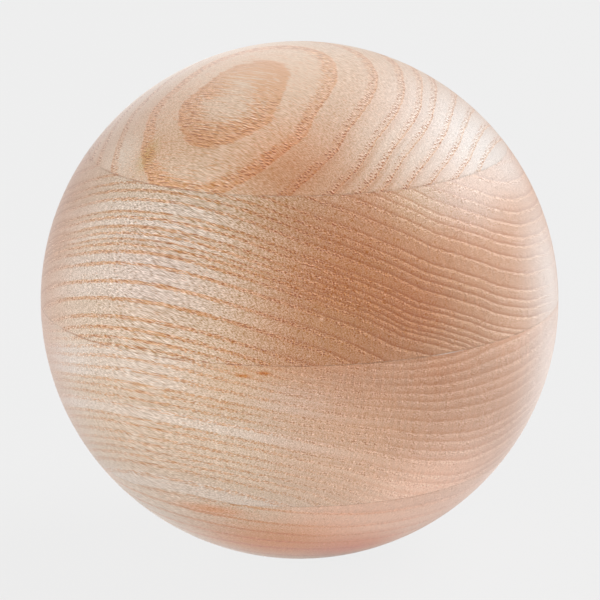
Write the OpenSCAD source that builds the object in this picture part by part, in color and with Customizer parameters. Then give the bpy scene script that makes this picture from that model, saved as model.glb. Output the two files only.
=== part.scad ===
// Solid wooden ball, turned from a block of four boards that are glued face to face.
// Origin at the ball's centre, +Z across the boards, +X along the grain. Millimetres.

/* [Ball] */
// Diameter of the finished ball
ball_d = 80; // [64:1:120]

/* [Boards] */
// Thickness of the board above the middle joint, as planed for gluing
upper_board_t = 23.3; // [12:0.1:28]
// Thickness of the board below the middle joint, as planed for gluing
lower_board_t = 23.7; // [12:0.1:28]
// Height of the middle glue joint above the ball's centre
middle_joint_z = 0.75; // [-3:0.05:3]

/* [Hidden] */

// The two outer glue joints follow from the boards between them
top_joint_z = middle_joint_z + upper_board_t;
bottom_joint_z = middle_joint_z - lower_board_t;

// Wood that the lathe takes off the square block, outside the ball
turning_waste = 3;
block_w = ball_d + 2 * turning_waste;
block_top_z = block_w / 2;
block_bottom_z = -block_w / 2;

// Segments round the ball
ball_fn = 180;

// One board of the square block, between two heights
module sawn_board(low_z, high_z) {
    translate([-block_w / 2, -block_w / 2, low_z])
        cube([block_w, block_w, high_z - low_z]);
}

// The part of a board that the lathe leaves
module turned_board(low_z, high_z) {
    intersection() {
        sawn_board(low_z, high_z);
        sphere(d = ball_d, $fn = ball_fn);
    }
}

// Outer board with the upper pole, a flat-sawn cap
module top_board() {
    color("burlywood")
        turned_board(top_joint_z, block_top_z);
}

// Board between the top joint and the middle joint
module upper_middle_board() {
    color("wheat")
        turned_board(middle_joint_z, top_joint_z);
}

// Board between the middle joint and the bottom joint
module lower_middle_board() {
    color("tan")
        turned_board(bottom_joint_z, middle_joint_z);
}

// Outer board with the lower pole
module bottom_board() {
    color("peru")
        turned_board(block_bottom_z, bottom_joint_z);
}

top_board();
upper_middle_board();
lower_middle_board();
bottom_board();
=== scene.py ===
import math
from itertools import accumulate
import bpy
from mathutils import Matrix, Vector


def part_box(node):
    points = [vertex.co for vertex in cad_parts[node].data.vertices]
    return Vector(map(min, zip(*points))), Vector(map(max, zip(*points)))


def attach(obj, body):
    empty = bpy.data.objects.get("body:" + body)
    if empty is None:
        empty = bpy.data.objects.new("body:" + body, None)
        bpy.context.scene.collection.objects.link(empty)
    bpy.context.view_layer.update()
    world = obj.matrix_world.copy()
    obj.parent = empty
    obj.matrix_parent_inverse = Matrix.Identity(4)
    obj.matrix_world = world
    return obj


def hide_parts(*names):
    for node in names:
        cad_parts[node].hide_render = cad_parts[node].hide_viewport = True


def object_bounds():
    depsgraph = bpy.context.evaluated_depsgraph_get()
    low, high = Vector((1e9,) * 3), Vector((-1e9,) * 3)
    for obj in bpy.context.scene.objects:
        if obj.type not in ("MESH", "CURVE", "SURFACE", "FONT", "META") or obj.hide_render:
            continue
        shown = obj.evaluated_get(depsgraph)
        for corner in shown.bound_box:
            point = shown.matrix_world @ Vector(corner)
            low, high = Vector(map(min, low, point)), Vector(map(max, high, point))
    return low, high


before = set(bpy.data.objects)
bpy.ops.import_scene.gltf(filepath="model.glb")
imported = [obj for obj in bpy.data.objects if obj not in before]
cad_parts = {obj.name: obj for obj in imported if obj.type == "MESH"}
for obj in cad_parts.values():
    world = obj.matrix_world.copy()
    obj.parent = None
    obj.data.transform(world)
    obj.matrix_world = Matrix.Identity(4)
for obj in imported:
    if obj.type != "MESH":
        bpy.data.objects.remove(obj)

from types import SimpleNamespace

import bpy
from mathutils import Vector

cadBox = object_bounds()
mm = 0.001

# the ball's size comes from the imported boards
ballRadius = (cadBox[1] - cadBox[0]).z / 2
ballCentre = (cadBox[1] + cadBox[0]) / 2
print("frame loaded, ball radius", round(ballRadius / mm, 3), "mm")

camera = {
    "azimuth": 35.0,       # degrees, from the -Y side round towards +X
    "elevation": 14.9,
    "distance": 0.56,
    "lens": 216.9,
    "sensor": 36.0,
    "roll": -0.52,         # held by hand, so not quite level
    "shift": (0.00075, -0.00017),
}


def wayOut(azimuth, elevation):
    # unit vector from the ball, angles in degrees
    a, e = math.radians(azimuth), math.radians(elevation)
    return Vector((math.sin(a) * math.cos(e), -math.cos(a) * math.cos(e), math.sin(e)))


def addCamera():
    back = wayOut(camera["azimuth"], camera["elevation"])
    bpy.ops.object.camera_add(location=ballCentre + back * camera["distance"])
    cam = bpy.context.active_object
    cam.name = "benchCamera"
    cam.rotation_euler = (-back).to_track_quat("-Z", "Y").to_euler()
    cam.rotation_euler.rotate_axis("Z", math.radians(camera["roll"]))
    cam.data.lens = camera["lens"]
    cam.data.sensor_width = camera["sensor"]
    cam.data.shift_x, cam.data.shift_y = camera["shift"]
    bpy.context.scene.camera = cam


bpy.ops.object.select_all(action="DESELECT")
addCamera()
bpy.context.scene.view_settings.view_transform = "Standard"
print("camera placed")


def setCurve(mapping, points):
    # straight stretches from point to point
    curve = mapping.curves[0]
    curve.points[0].location = points[0]
    curve.points[1].location = points[-1]
    for point in points[1:-1]:
        curve.points.new(*point)
    for point in curve.points:
        point.handle_type = "VECTOR"
    mapping.update()


class Flow:
    # wraps a socket, so that shader maths reads like plain expressions
    def __init__(self, tree, socket=None):
        self.tree = tree
        self.socket = socket

    def node(self, kind, settings=None, values=None, output=0):
        made = self.tree.nodes.new(kind)
        for key, value in (settings or {}).items():
            if key == "curve":
                setCurve(made.mapping, value)
            else:
                setattr(made, key, value)
        for key, value in (values or {}).items():
            if isinstance(value, Flow):
                self.tree.links.new(value.socket, made.inputs[key])
            else:
                made.inputs[key].default_value = value
        return Flow(self.tree, made.outputs[output] if made.outputs else None)

    def also(self, output):
        # another output of the same node
        return Flow(self.tree, self.socket.node.outputs[output])

    def maths(self, operation, *values):
        return self.node("ShaderNodeMath", {"operation": operation}, dict(enumerate(values)))

    def __add__(self, other):
        return self.maths("ADD", self, other)

    def __radd__(self, other):
        return self.maths("ADD", other, self)

    def __sub__(self, other):
        return self.maths("SUBTRACT", self, other)

    def __rsub__(self, other):
        return self.maths("SUBTRACT", other, self)

    def __mul__(self, other):
        return self.maths("MULTIPLY", self, other)

    def __rmul__(self, other):
        return self.maths("MULTIPLY", other, self)

    def __truediv__(self, other):
        return self.maths("DIVIDE", self, other)

    def __neg__(self):
        return self.maths("MULTIPLY", self, -1.0)

    def __abs__(self):
        return self.maths("ABSOLUTE", self)

    def fade(self, start, end):
        # 0 at start, 1 at end, smooth between them; start may be the higher one
        low, high = (start, end) if start < end else (end, start)
        first, last = (0.0, 1.0) if start < end else (1.0, 0.0)
        return self.node(
            "ShaderNodeMapRange", {"interpolation_type": "SMOOTHSTEP"},
            {"Value": self, "From Min": low, "From Max": high, "To Min": first, "To Max": last},
        )

    def curve(self, points):
        # self runs from 0 to 1 along the points
        return self.node("ShaderNodeFloatCurve", {"curve": points}, {"Value": self})

    def blend(self, other, share, way="MIX"):
        # self and other are colours
        return self.node(
            "ShaderNodeMix", {"data_type": "RGBA", "blend_type": way, "clamp_factor": True},
            {0: share, 6: self, 7: other}, 2,
        )

    def tinted(self, tint, share):
        # self is a colour, multiplied by the tint where share is 1
        return self.blend(solid(tint), share, "MULTIPLY")


def solid(colour):
    return (*colour, 1.0)


def newMaterial(name):
    material = bpy.data.materials.new(name)
    material.use_nodes = True
    material.node_tree.nodes.clear()
    return material, Flow(material.node_tree)


woodLook = {
    # sawn along the grain
    "sideLate": (0.68, 0.517, 0.386),     # the pale wood between the pore rows
    "rowTint": (0.90, 0.57, 0.29),        # what the pore rows do to the wood's colour
    "sideSilk": (0.74, 0.62, 0.53),       # the silkier rings
    # the same wood sawn across
    "endWood": (0.56, 0.31, 0.19),
    "paleTint": (1.22, 1.40, 1.55),       # the first of each ring, cut across
    "lateTint": (0.86, 0.68, 0.54),       # and the last of it
    "poreTint": (0.52, 0.24, 0.08),       # in a pore
    # a highlight painted on each pore's edge
    "lipHighlightTint": (1.30, 1.50, 1.70),        # and on its lit edge
    # the pale colour of painted highlights and of the painted white sheen at the rims
    "highlightPaint": (0.80, 0.72, 0.67),
    "glue": (0.45, 0.22, 0.11),
    "poreWidth": 0.29,                    # mm between pores
    "poreLength": 1.9,
    "roughness": 0.50,
    "gloss": 1.45,
    "bloom": 0.58,                        # the soft white veil of bare satin wood
    "bloomRoughness": 0.5,
}

# the grain's figure, the same in all four boards; lengths in mm
figure = {
    # noises, by their size along the grain and across it
    "wander": {"along": 55.0, "across": 13.0, "detail": 2.0},
    "jag": {"along": 7.0, "across": 0.8, "detail": 1.0},
    "fine": {"along": 1.1, "across": 0.10, "detail": 0.0, "start": (5.0, 2.0, 6.0), "tilt": 12.0},
    "patchy": {"along": 11.0, "across": 1.2, "detail": 1.0, "start": (4.0, 9.0, 2.0)},
    "fibre": {"along": 7.0, "across": 0.35, "detail": 1.0, "start": (2.0, 9.0, 4.0)},
    "cloud": {"along": 35.0, "across": 16.0, "detail": 2.0, "start": (2.0, 2.0, 9.0)},
    "streak": {"detail": 1.0, "start": (1.0, 7.0, 3.0)},      # its sizes stand with each board
    "ray": {"along": 0.6, "around": 0.26, "outwards": 3.0},
    # growth rings
    "wanderBy": 0.6,             # how far the rings stray
    "jagBy": 0.22,
    "fluteRoom": 0.12,           # more than any flute's share
    "narrowest": 1.05,           # narrow rings keep their two halves
    "begins": 0.12,              # a ring begins over this length
    "poresEnd": (1.25, 0.75),    # times early: where the pores have gone, and where they are full
    "edgeLine": (0.40, 0.12),    # the same for the dark line at a ring's start, in mm
    "paleLine": (0.60, 0.22),    # for the pale line in the end grain
    "lateLine": (0.60, 0.0),     # and for the dark one, counted back from the ring's end
    "lateZone": (0.40, 0.62),    # where that one sets in, in shares of the radius along the grain
    # pores
    "scatter": 0.7,
    "poreEdge": (0.46, 0.26),
    # how far the highlight painted beside each pore is shifted from it
    "lipHighlightShift": (0.0, 0.15, 0.15),
    "endDots": 0.35,             # the share of their contrast that is lost in the end grain
    # the threads that make up a pore row
    "threadStreak": 2.0,
    "threadPores": 0.68,
    "threadPatchy": 0.6,
    "threadEdge": (-0.08, 0.14),
    "threadLeast": 0.50,
    "threadStrong": 0.35,
    "threadEnd": 0.8,            # the share of them that is lost in the end grain
    # glue
    "glueEdge": (0.16, 0.05),
    "glueFill": 0.65,
    "gluePatchy": 3.0,
    # how far each of these changes the tone, the fine glints or the surface
    "silkShare": 0.6,
    "fibreTone": 0.14,
    "rayTone": 0.20,
    "cloudTone": 0.07,
    "ringTone": 0.05,
    "cloudBusy": 0.2,
    "fineGlint": 1.9,
    "streakGlint": 0.35,
    "pitRough": 0.12,
    "streakHeight": 0.010,
}

# each board's own figure, with the notes beside the first; lengths in mm
topBoard = {
    "node": "top_board",
    "pith": (8.0, -14.4),       # across and up, from the ball's centre
    "pithAbove": False,
    "firstRing": 29.6,          # from the pith to the first ring listed
    "spread": None,             # or where the rings stand further apart, see the lower board
    "lean": -0.035,             # how far the rings shift for each mm along the grain
    "bow": 0.0,                 # and how that changes with the distance
    # degrees round the pith, and the share by which a place there counts as further from it
    "flutes": [(-60, -0.020), (-45, -0.012), (-38, -0.001), (-31, 0.007), (-25, 0.002),
               (-17, 0.001), (-10, -0.009), (-4, -0.025), (5, -0.040), (20, -0.046)],
    "ringWidths": [2.0, 2.0, 2.0, 2.0, 2.1, 1.8, 1.9, 1.8, 1.9, 1.3, 1.6, 2.1, 2.2, 1.6, 3.0],
    "strongRings": [],          # rings with bolder pore rows, by number
    "paleRings": [],            # and silkier ones
    "early": 0.66,              # the pores at each ring's start
    "edge": 0.65,               # how plain the dark line is that a ring starts with
    "baseZone": (0.10, 0.70),   # where the colour turns to end grain, in shares of the radius
    "lineZone": (1.0, 1.2),     # and where the pore rows turn to fine lines
    "row": 0.62,                # how bold the pore rows are
    "grain": 0.62,              # how strong the fine texture is
    "endGrain": 0.35,           # and how much stronger in the end grain, as a share
    "calm": [((2, -12, 38), (16, 12, 9), 0.92)],  # quieter places: centre, reach, how much
    "dots": (0.65, 1.00),       # how plain the pores are, sawn along and sawn across
    "streak": (6.0, 0.16),      # size along the grain and across it
    "across": 0.35,             # how much of the pore rows is left sawn across
    "clear": 0.24,              # more of it breaks the pore rows up
    "line": 0.8,                # how plain a ring's pale and dark lines are in the end grain
    "glued": (0.8,),            # how plain the glue is, joint by joint from the top down
    "paint": {"sideLate": (0.74, 0.526, 0.373), "endWood": (0.63, 0.40, 0.27),
              "highlightPaint": (0.72, 0.68, 0.65), "poreWidth": 0.34},
    # centre and reach, then what the colour there is multiplied by; some are the wood's own stains, others
    # are painted light: paler, whiter patches at the rims and near the highlight
    "stainsAndPaintedLight": [
        ((15, -24, 29), (14, 14, 14), (1.00, 0.80, 0.67)),
        ((-7.4, -27.8, 27.2), (2.4, 5, 4.2), (0.84, 0.86, 0.58)),
        ((-13, -27, 26), (8, 7, 6), (1.12, 1.26, 1.40)),
        ((16, -26, 26), (13, 13, 7), (0.87, 0.77, 0.66)),
        ((-7, -28, 28), (6, 6, 5), (0.97, 0.87, 0.78)),
        ((-6, -9, 38), (14, 14, 7), (0.98, 0.92, 0.87)),
        ((-1, -14, 37), (8, 6, 6), (1.03, 1.12, 1.20)),
        ((-1, -26, 30), (12, 8, 6), (0.90, 0.81, 0.72)),
        ((-10, -20, 33), (12, 10, 9), (0.98, 0.90, 0.84)),
        ((25, -11, 28), (11, 11, 8), (1.06, 1.22, 1.36)),
    ],
    # centre and reach, then how strongly the painted highlight covers the colour there, here at the upper
    # right
    "paintedHighlights": [
        ((29, 6, 28), (24, 24, 22), 0.82),
    ],
}

upperBoard = {
    "node": "upper_middle_board",
    "pith": (17.0, 64.2),
    "pithAbove": True,
    "firstRing": 39.6,
    "spread": None,
    "lean": 0.008,
    "bow": 0.0007,
    "flutes": [(-54, -0.0025), (-49, -0.003), (-45, -0.006), (-41, -0.001), (-37, 0.002),
               (-33, -0.003), (-29, 0.005), (-25, 0.0075), (-21, 0.002), (-17, 0.003),
               (-13, 0.0045), (-9, 0.011), (-5, 0.009), (-1, 0.0075), (5, -0.0005)],
    "ringWidths": [2.6, 2.8, 2.5, 1.9, 1.8, 1.9, 1.3, 1.8, 2.2, 2.5, 1.5, 1.2, 1.4, 1.9,
                   0.8, 1.3, 0.9, 0.9, 0.6, 0.9, 1.6, 2.3, 2.2, 2.3, 1.4, 1.2, 0.9, 0.9],
    "strongRings": [20, 21, 22, 23],
    "paleRings": [13, 15, 17, 20, 21, 22],
    "early": 0.56,
    "edge": 0.0,
    "baseZone": (0.22, 0.72),
    "lineZone": (0.45, 0.95),
    "row": 0.85,
    "grain": 1.0,
    "endGrain": -0.15,
    "calm": [],
    "dots": (0.60, 1.00),
    "streak": (3.2, 0.125),
    "across": 0.25,
    "clear": 0.38,
    "line": 0.9,
    "glued": (0.8, 0.8),
    "paint": {"endWood": (0.58, 0.313, 0.183), "paleTint": (1.28, 1.50, 1.70),
              "lateTint": (0.80, 0.60, 0.45)},
    # stains, and whiter patches painted at the left and right rims and near the highlight at the upper right
    "stainsAndPaintedLight": [
        ((24, -27, 10), (26, 40, 24), (0.88, 0.67, 0.46)),
        ((16, -29, 22), (12, 14, 9), (0.91, 0.82, 0.73)),
        ((34.5, -19, 8), (9, 10, 10), (0.93, 0.81, 0.72)),
        ((26, -29, 6), (9, 8, 8), (1.03, 1.12, 1.16)),
        ((40, 0, 1), (9, 12, 9), (1.10, 1.14, 1.18)),
        ((30, -13, 23), (9, 9, 9), (1.12, 1.40, 1.62)),
        ((-22, -33, 5), (16, 16, 20), (1.12, 1.22, 1.32)),
        ((0, -38, 13), (18, 10, 14), (0.94, 0.91, 0.93)),
    ],
    # painted highlight and painted white sheen at the upper right and the right rim
    "paintedHighlights": [
        ((32, -3, 22.5), (14, 13, 9), 0.42),
        ((30, 10, 23), (14, 14, 7), 0.65),
        ((37, 12.5, 5), (15, 15, 20), 0.70),
    ],
}

lowerBoard = {
    "node": "lower_middle_board",
    "pith": (-1.7, 41.1),
    "pithAbove": True,
    "firstRing": 46.4,
    # radius of the ring that keeps its place, how fast the rings pass, and the degrees it sets in over
    "spread": (53.9, 0.60, (-36.3, -3.3)),
    "lean": 0.007,
    "bow": 0.00043,
    "flutes": [(-60, 0.001), (-52, -0.0175), (-46, -0.028), (-40, -0.018), (-34, 0.004),
               (-28, 0.025), (-22, 0.048), (-16, 0.060), (-10, 0.076), (-4, 0.083),
               (2, 0.090), (8, 0.096), (16, 0.085)],
    "ringWidths": [0.9, 1.0, 1.0, 1.2, 1.1, 1.1, 1.0, 1.1, 1.4, 1.5, 0.9, 1.1, 1.1, 1.7,
                   0.9, 1.3, 1.1, 0.9, 0.8, 0.8, 1.3, 1.6, 1.2, 1.2],
    "strongRings": [],
    "paleRings": [7, 8, 9, 13, 21],
    "early": 0.54,
    "edge": 0.0,
    "baseZone": (0.30, 0.80),
    "lineZone": (0.68, 0.92),
    "row": 0.62,
    "grain": 0.68,
    "endGrain": 0.35,
    "calm": [],
    "dots": (0.40, 0.70),
    "streak": (3.2, 0.125),
    "across": 0.20,
    "clear": 0.35,
    "line": 0.55,
    "glued": (0.8, 0.2),
    "paint": {"endWood": (0.63, 0.345, 0.213)},
    # stains, and whiter patches painted at the left and right rims and at the lower right, where light from
    # the floor falls
    "stainsAndPaintedLight": [
        ((23, -33, 3), (16, 14, 6), (1.00, 0.82, 0.66)),
        ((32, -10, -22), (17, 17, 15), (1.47, 1.66, 1.92)),
        ((28, -27, -9.5), (16, 14, 11), (1.11, 1.20, 1.25)),
        ((40, 0, 1), (9, 12, 9), (1.10, 1.14, 1.18)),
        ((27, -22, -20), (15, 15, 16), (1.17, 1.32, 1.43)),
        ((14, -37, -1.5), (14, 12, 8), (0.93, 0.80, 0.66)),
        ((36, -16, -2), (8, 8, 5), (0.98, 0.90, 0.84)),
        ((-22, -33, -3), (16, 16, 20), (1.09, 1.20, 1.34)),
        ((15.7, -36.8, -0.85), (2.0, 3, 0.5), (0.84, 0.46, 0.08)),
        ((18.4, -35.5, -0.35), (1.5, 3, 0.5), (0.84, 0.46, 0.08)),
    ],
    # a short pale line painted along the joint at the right, and painted white sheen at the right rim
    "paintedHighlights": [
        ((36.6, -15, 0.72), (4, 4, 0.14), 0.9),
        ((38, 11, -4), (15, 15, 20), 0.50),
    ],
}

bottomBoard = {
    "node": "bottom_board",
    "pith": (-10.0, 180.0),
    "pithAbove": True,
    "firstRing": 198.7,
    "spread": None,
    "lean": -0.065,
    "bow": 0.0,
    "flutes": [],
    "ringWidths": [2.0, 2.6, 2.7, 2.1, 1.9, 1.9, 2.5, 2.2, 2.1, 2.0, 2.0, 1.9, 2.0],
    "strongRings": [],
    "paleRings": [],
    "early": 0.50,
    "edge": 0.0,
    "baseZone": (0.28, 0.60),
    "lineZone": (0.62, 0.85),
    "row": 0.85,
    "grain": 0.80,
    "endGrain": 0.35,
    "calm": [((24, -18, -28), (17, 20, 15), 0.45)],
    "dots": (0.30, 0.60),
    "streak": (3.2, 0.125),
    "across": 0.50,
    "clear": 0.27,
    "line": 0.5,
    "glued": (0.2,),
    "paint": {"endWood": (0.82, 0.51, 0.365)},
    # the colour made darker and more orange towards the bottom
    "stainsAndPaintedLight": [
        ((18.5, -11.5, -34.5), (11, 11, 8), (0.88, 0.38, 0.06)),
        ((10, -23, -32.5), (20, 18, 11), (1.05, 0.48, 0.08)),
        ((16, -15, -35), (13, 12, 8), (0.97, 0.80, 0.60)),
        ((5, -31, -24.6), (10, 6, 1.8), (0.97, 0.58, 0.32)),
    ],
    "paintedHighlights": [],
}


def stretched(place, along, across, start=(0.0, 0.0, 0.0), tilt=0.0):
    # the same place in units of so many mm along the grain and across it
    return place.node(
        "ShaderNodeMapping", {"vector_type": "TEXTURE"},
        {"Vector": place, "Location": start, "Rotation": (0.0, math.radians(tilt), 0.0),
         "Scale": (along, across, across)},
    )


def noise(place, along, across, detail, start=(0.0, 0.0, 0.0), tilt=0.0):
    # runs from about -0.5 to 0.5
    return place.node(
        "ShaderNodeTexNoise", None,
        {"Vector": stretched(place, along, across, start, tilt), "Scale": 1.0, "Detail": detail},
    ) - 0.5


def pores(place, look, start=(0.0, 0.0, 0.0)):
    # thin tubes along the grain, 1 inside them
    return place.node(
        "ShaderNodeTexVoronoi", None,
        {"Vector": stretched(place, look["poreLength"], look["poreWidth"], start), "Scale": 1.0,
         "Randomness": figure["scatter"]},
    ).fade(*figure["poreEdge"])


def patch(place, centre, reach):
    # 1 at the centre, 0 from its reach outwards
    offset = place.node(
        "ShaderNodeMapping", {"vector_type": "TEXTURE"},
        {"Vector": place, "Location": centre, "Scale": reach})
    return place.node("ShaderNodeVectorMath", {"operation": "LENGTH"}, {0: offset}, "Value").fade(1.0, 0.0)


def greyOf(level):
    return level.node("ShaderNodeCombineColor", None, {0: level, 1: level, 2: level})


def ringGrowth(board, place, along, across, up):
    # growth since the first ring, round a pith line that runs along the grain
    pithY, pithZ = board["pith"]
    fromPithY = across - pithY
    fromPithZ = up - pithZ
    reach = place.maths("SQRT", fromPithY * fromPithY + fromPithZ * fromPithZ)
    facing = -fromPithZ if board["pithAbove"] else fromPithZ
    angle = place.maths("ARCTAN2", fromPithY, facing)
    radius = reach
    if board["flutes"]:
        room = figure["fluteRoom"]
        first, last = (math.radians(board["flutes"][i][0]) for i in (0, -1))
        points = [
            ((math.radians(degrees) - first) / (last - first), 0.5 + share / room / 2)
            for degrees, share in board["flutes"]
        ]
        flute = ((angle - first) / (last - first)).curve(points) - 0.5
        radius = reach * (1.0 + flute * (2 * room))
    if board["spread"]:
        pivot, speed, degrees = board["spread"]
        spread = angle.fade(*(math.radians(d) for d in degrees))
        radius = (radius - pivot) * (1.0 - spread * (1.0 - speed)) + pivot
    sideways = along * board["lean"] + along * along * board["bow"]
    growth = radius - board["firstRing"]
    growth = growth + sideways if board["pithAbove"] else growth - sideways
    wander = noise(place, **figure["wander"]) * figure["wanderBy"]
    jag = noise(place, **figure["jag"]) * figure["jagBy"]
    return growth + wander + jag, angle * reach


def ringParts(board, growth):
    widths = board["ringWidths"]
    count = len(widths)
    edges = [0.0, *accumulate(widths)]
    total = edges[-1]
    number = (growth / total).curve([(edge / total, i / count) for i, edge in enumerate(edges)]) * count
    ring = growth.maths("FLOOR", number)

    def perRing(values):
        # a stair with a step for each ring, read in the middle of the step
        top = max(1.0, *values)
        stair = [((i + side) / count, value / top) for i, value in enumerate(values) for side in (0.02, 0.98)]
        return ((ring + 0.5) / count).curve(stair) * top

    strong = perRing([1.0 if i in board["strongRings"] else board["row"] for i in range(count)])
    pale = perRing([1.0 if i in board["paleRings"] else 0.0 for i in range(count)])
    chance = ring.node("ShaderNodeTexWhiteNoise", {"noise_dimensions": "1D"}, {"W": ring}) - 0.5
    width = growth.maths("MAXIMUM", perRing(widths), figure["narrowest"])
    past = (number - ring) * width             # since the ring began
    left = width - past                        # until the next one
    begun = past.fade(0.0, figure["begins"])
    porous = past.fade(*(board["early"] * times for times in figure["poresEnd"])) * begun
    edge = past.fade(*figure["edgeLine"]) * begun * board["edge"]
    return SimpleNamespace(
        past=past, left=left, begun=begun, porous=porous, edge=edge, strong=strong, pale=pale, chance=chance)


def glueLines(colour, glue, up, patchy, joints):
    # a broken line along each joint
    run = (patchy * figure["gluePatchy"] + figure["glueFill"]).fade(0.0, 1.0)
    for height, plain in joints:
        near = abs(up - height / mm).fade(*figure["glueEdge"])
        colour = colour.blend(solid(glue), near * run * plain)
    return colour


def poreRows(board, rings, streak, patchy, endOn, lineOn):
    # threads along the grain, which merge and thin out as the cut turns across it
    bold = rings.porous * rings.strong
    threads = streak * figure["threadStreak"]
    threads = threads + bold * (figure["threadPores"] + patchy * figure["threadPatchy"])
    threads = (threads - board["clear"]).fade(*figure["threadEdge"])
    threads = threads * (figure["threadLeast"] + figure["threadStrong"] * rings.strong)
    threads = threads * (1.0 - figure["threadEnd"] * endOn)
    return bold.maths("MAXIMUM", threads, bold * endOn * board["across"]) * (1.0 - lineOn)


def rayNoise(growth, around, along):
    # small flecks that follow the rings
    size = figure["ray"]
    place = growth.node(
        "ShaderNodeCombineXYZ", None,
        {0: around / size["around"], 1: growth / size["outwards"], 2: along / size["along"]})
    return place.node("ShaderNodeTexNoise", None, {"Vector": place, "Scale": 1.0, "Detail": 0.0}) - 0.5


def woodMaterial(name, board, joints):
    look = {**woodLook, **board["paint"]}
    material, flow = newMaterial(name)
    metres = flow.node("ShaderNodeTexCoord", output="Object")
    place = flow.node("ShaderNodeVectorMath", {"operation": "SCALE"}, {0: metres, "Scale": 1 / mm})
    along = flow.node("ShaderNodeSeparateXYZ", None, {0: place})
    across = along.also("Y")
    up = along.also("Z")
    growth, around = ringGrowth(board, place, along, across, up)
    rings = ringParts(board, growth)

    # pores are pits, with a highlight painted on one edge of each where they are cut across
    pit = pores(place, look)
    lipHighlight = pores(place, look, figure["lipHighlightShift"])

    streak = noise(place, *board["streak"], **figure["streak"])
    fine = noise(place, **figure["fine"])
    patchy = noise(place, **figure["patchy"])
    fibre = noise(place, **figure["fibre"])
    cloud = noise(place, **figure["cloud"])
    ray = rayNoise(growth, around, along)

    # the cut turns from along the grain to across it towards the ball's two ends
    cut = abs(along) / (ballRadius / mm)
    endOn = cut.fade(*board["baseZone"])
    lineOn = cut.fade(*board["lineZone"])
    sideOn = 1.0 - endOn

    colour = flow.node("ShaderNodeRGB")
    colour.socket.default_value = solid(look["sideLate"])
    colour = colour.blend(solid(look["sideSilk"]), rings.pale * figure["silkShare"])
    colour = colour.blend(solid(look["endWood"]), endOn)
    late = rings.left.fade(*figure["lateLine"]) * cut.fade(*figure["lateZone"]) * board["line"]
    colour = colour.tinted(look["lateTint"], late)
    early = rings.past.fade(*figure["paleLine"]) * rings.begun * lineOn * board["line"]
    colour = colour.tinted(look["paleTint"], early)

    # stains together with painted light (whiter patches at the rims and the lower right), glue, and pale
    # patches painted where highlights fall
    for centre, reach, tint in board["stainsAndPaintedLight"]:
        colour = colour.tinted(tint, patch(place, centre, reach))
    colour = glueLines(colour, look["glue"], up, patchy, zip(joints, board["glued"]))
    for centre, reach, share in board["paintedHighlights"]:
        colour = colour.blend(solid(look["highlightPaint"]), patch(place, centre, reach) * share)

    rows = poreRows(board, rings, streak, patchy, endOn, lineOn)
    colour = colour.tinted(look["rowTint"], flow.maths("MAXIMUM", rows, rings.edge))

    # pores
    busy = 1.0 + cloud * figure["cloudBusy"]
    for centre, reach, share in board["calm"]:
        busy = busy * (1.0 - patch(place, centre, reach) * share)
    alongDots, acrossDots = board["dots"]
    dots = rings.porous * busy * (alongDots + (acrossDots - alongDots) * endOn)
    dots = dots * (1.0 - figure["endDots"] * lineOn)
    colour = colour.tinted(look["lipHighlightTint"], lipHighlight * dots)
    colour = colour.tinted(look["poreTint"], pit * dots)

    # tone, then fine glints, which pale wood shows most
    tone = 1.0 + fibre * sideOn * figure["fibreTone"] + ray * endOn * figure["rayTone"]
    tone = tone + cloud * figure["cloudTone"] + rings.chance * figure["ringTone"]
    colour = colour.blend(greyOf(tone), 1.0, "MULTIPLY")
    paleness = flow.node("ShaderNodeRGBToBW", None, {0: colour})
    glint = fine * figure["fineGlint"] + streak * sideOn * figure["streakGlint"]
    glint = glint * paleness * busy * (1.0 + lineOn * board["endGrain"]) * board["grain"]
    colour = colour.blend(greyOf(glint), 1.0, "ADD")

    rough = look["roughness"] + pit * rings.porous * figure["pitRough"]
    height = streak * (figure["streakHeight"] * board["grain"])
    bump = flow.node("ShaderNodeBump", None, {"Strength": 1.0, "Distance": mm, "Height": height})
    surface = flow.node(
        "ShaderNodeBsdfPrincipled", None,
        {"Base Color": colour, "Roughness": rough, "Normal": bump, "IOR": look["gloss"],
         "Sheen Weight": look["bloom"], "Sheen Roughness": look["bloomRoughness"]},
    )
    flow.node("ShaderNodeOutputMaterial", None, {"Surface": surface})
    return material


turning = {
    "cuts": 95,            # subdivisions of the block's sides before it is rounded
    "easedEdge": 0.05,     # mm taken off each glued edge
    "easeSteps": 2,
    "sawSlack": 0.003,     # mm, how close to the saw a point counts as on it
    "jointSlack": 0.005,   # the same for a glued face
    "smoothBelow": 35.0,   # degrees
}

bakeMap = {
    "cap": 0.495,              # radius of the round that a cap opens to
    "strip": (0.01, 0.92),     # where a quarter turn starts, and how wide it is
    "margin": 0.01,            # between one quarter turn and the next
    "glued": (0.97, 0.06),     # the corner for the glued faces
    "gluedApart": 0.03,
    "gluedRadius": 0.025,
}


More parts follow.
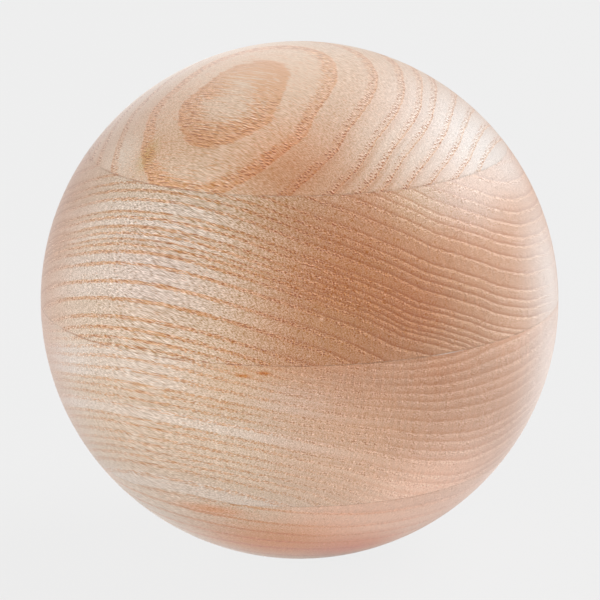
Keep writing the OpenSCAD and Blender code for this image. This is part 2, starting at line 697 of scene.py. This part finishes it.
def mapBoard(mesh, joints):
    # for baked colours: a cap opens flat round its pole, a middle board is laid out as four
    # quarter turns one above another, and the glued faces are kept small in a corner
    layer = mesh.uv_layers[0]
    layer.name = "OFBake"
    heights = [v.co.z - ballCentre.z for v in mesh.vertices]
    low, high = min(heights), max(heights)
    pole = Vector((0, 0, 1 if high + low > 0 else -1))
    widest = math.acos(min(abs(joint - ballCentre.z) for joint in joints) / ballRadius)
    gluedU, gluedV = bakeMap["glued"]
    stripStart, stripWidth = bakeMap["strip"]
    margin = bakeMap["margin"]
    for face in mesh.polygons:
        glued = any(abs(face.center.z - joint) < turning["jointSlack"] * mm for joint in joints)
        around = math.degrees(math.atan2(face.center.y - ballCentre.y, face.center.x - ballCentre.x))
        quarter = math.floor((around + 45) / 90) % 4
        for corner in face.loop_indices:
            place = mesh.vertices[mesh.loops[corner].vertex_index].co - ballCentre
            if glued:
                facing = 1 if face.normal.z > 0 else -1
                small = bakeMap["gluedRadius"] / ballRadius
                u = gluedU + small * facing * place.x
                v = gluedV + bakeMap["gluedApart"] * facing + small * place.y
            elif len(joints) == 1:
                out = bakeMap["cap"] * place.angle(pole) / widest
                turn = math.atan2(place.y, place.x * pole.z)
                u = 0.5 + out * math.cos(turn)
                v = 0.5 + out * math.sin(turn)
            else:
                turn = math.degrees(math.atan2(place.y, place.x)) - 90 * quarter
                turn = (turn + 180) % 360 - 180
                u = stripStart + stripWidth * (turn + 45) / 90
                v = (quarter + margin + (1 - 2 * margin) * (place.z - low) / (high - low)) / 4
            layer.data[corner].uv = (u, v)


def roundBall(pieceName):
    # a block with fine faces, rounded to the ball; it is left in edit mode
    bpy.ops.object.select_all(action="DESELECT")
    bpy.ops.mesh.primitive_cube_add(size=2 * ballRadius, location=ballCentre)
    piece = bpy.context.active_object
    piece.name = pieceName
    piece.data.name = pieceName
    bpy.ops.object.mode_set(mode="EDIT")
    bpy.ops.mesh.select_mode(type="VERT")
    bpy.ops.mesh.select_all(action="SELECT")
    bpy.ops.mesh.subdivide(number_cuts=turning["cuts"])
    bpy.ops.transform.tosphere(value=1.0)
    bpy.ops.object.mode_set(mode="OBJECT")
    grow = ballRadius / piece.data.vertices[0].co.length  # rounding brings it to a middle size
    bpy.ops.object.mode_set(mode="EDIT")
    bpy.ops.mesh.select_all(action="SELECT")
    bpy.ops.transform.resize(value=(grow, grow, grow), center_override=ballCentre)
    return piece


def sawBoard(low, high):
    # to the board's two faces, from the top down; a face at the ball's pole is left round
    joints = []
    for height, towards in ((high.z, 1.0), (low.z, -1.0)):
        if abs(height - ballCentre.z) > ballRadius - mm:
            continue
        joints.append(height)
        bpy.ops.mesh.select_all(action="SELECT")
        bpy.ops.mesh.bisect(
            plane_co=(0, 0, height), plane_no=(0, 0, towards), threshold=turning["sawSlack"] * mm,
            use_fill=True, clear_outer=True)
    return joints


def easeEdges(piece, joints):
    slack = turning["jointSlack"] * mm
    bpy.ops.mesh.select_mode(type="EDGE")
    bpy.ops.mesh.select_all(action="DESELECT")
    bpy.ops.object.mode_set(mode="OBJECT")
    for edge in piece.data.edges:
        ends = [piece.data.vertices[v].co.z for v in edge.vertices]
        edge.select = any(all(abs(z - joint) < slack for z in ends) for joint in joints)
    bpy.ops.object.mode_set(mode="EDIT")
    bpy.ops.mesh.bevel(offset=turning["easedEdge"] * mm, segments=turning["easeSteps"], affect="EDGES")


def turnBoard(board, pieceName):
    piece = roundBall(pieceName)
    joints = sawBoard(*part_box(board["node"]))
    easeEdges(piece, joints)
    bpy.ops.mesh.select_all(action="SELECT")
    bpy.ops.mesh.normals_make_consistent(inside=False)
    bpy.ops.object.mode_set(mode="OBJECT")
    bpy.ops.object.transform_apply(location=True, rotation=True, scale=True)
    bpy.ops.object.shade_smooth_by_angle(angle=math.radians(turning["smoothBelow"]))
    mapBoard(piece.data, joints)
    return piece, joints


for board, pieceName in (
    (topBoard, "turned_top_board"),
    (upperBoard, "turned_upper_middle_board"),
    (lowerBoard, "turned_lower_middle_board"),
    (bottomBoard, "turned_bottom_board"),
):
    piece, joints = turnBoard(board, pieceName)
    piece.data.materials.clear()
    piece.data.materials.append(woodMaterial(pieceName + "_wood", board, joints))
    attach(piece, "root")
    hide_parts(board["node"])
    print(pieceName, "turned,", len(piece.data.polygons), "faces")

studio = {
    "floorRadius": 3.0,
    "floorSides": 96,
    "floorPaint": 0.80,
    "backdrop": 0.863,      # how pale the camera sees the floor and the air
    "backdropShare": 0.96,  # the rest of the floor takes the ball's shadow
    "sky": 0.15,
    "lamps": [
        # name, degrees round the ball, degrees up, metres away, metres across, watts
        ("rightSoftbox", 150.0, 42.0, 1.1, 1.0, 14.0),
        ("leftSoftbox", -45.0, 10.0, 1.1, 0.8, 4.8),
        ("frontSoftbox", 15.0, 8.0, 1.1, 0.9, 7.0),
    ],
}
backdropColour = solid([studio["backdrop"]] * 3)


def seenRays(flow):
    # 1 for what the camera sees, also in a reflection
    rays = flow.node("ShaderNodeLightPath", output="Is Camera Ray")
    return flow.maths("MINIMUM", rays + rays.also("Is Glossy Ray") + rays.also("Is Transmission Ray"), 1.0)


def floorMaterial():
    material, flow = newMaterial("pale_floor")
    paint = flow.node("ShaderNodeBsdfDiffuse", None, {"Color": solid([studio["floorPaint"]] * 3)})
    glow = flow.node("ShaderNodeEmission", None, {"Color": backdropColour, "Strength": 1.0})
    share = seenRays(flow) * studio["backdropShare"]
    both = flow.node("ShaderNodeMixShader", None, {0: share, 1: paint, 2: glow})
    flow.node("ShaderNodeOutputMaterial", None, {"Surface": both})
    return material


def layFloor():
    bpy.ops.object.select_all(action="DESELECT")
    bpy.ops.mesh.primitive_circle_add(
        vertices=studio["floorSides"], radius=studio["floorRadius"], fill_type="NGON",
        location=(ballCentre.x, ballCentre.y, cadBox[0].z))
    floor = bpy.context.active_object
    floor.name = "paleFloor"
    floor.data.materials.append(floorMaterial())


def hangTent():
    world = bpy.data.worlds.new("whiteTent")
    bpy.context.scene.world = world
    world.use_nodes = True
    world.node_tree.nodes.clear()
    flow = Flow(world.node_tree)
    air = flow.node("ShaderNodeBackground", None, {"Color": solid([1.0] * 3), "Strength": studio["sky"]})
    shown = flow.node("ShaderNodeBackground", None, {"Color": backdropColour, "Strength": 1.0})
    both = flow.node("ShaderNodeMixShader", None, {0: seenRays(flow), 1: air, 2: shown})
    flow.node("ShaderNodeOutputWorld", None, {"Surface": both})


def hangLamps():
    for lampName, around, rise, distance, size, power in studio["lamps"]:
        out = wayOut(around, rise)
        bpy.ops.object.light_add(type="AREA", location=ballCentre + out * distance)
        lamp = bpy.context.active_object
        lamp.name = lampName
        lamp.rotation_euler = (-out).to_track_quat("-Z", "Y").to_euler()
        lamp.data.shape = "DISK"
        lamp.data.size = size
        lamp.data.energy = power


layFloor()
hangTent()
hangLamps()
print("floor, tent and", len(studio["lamps"]), "lamps placed")
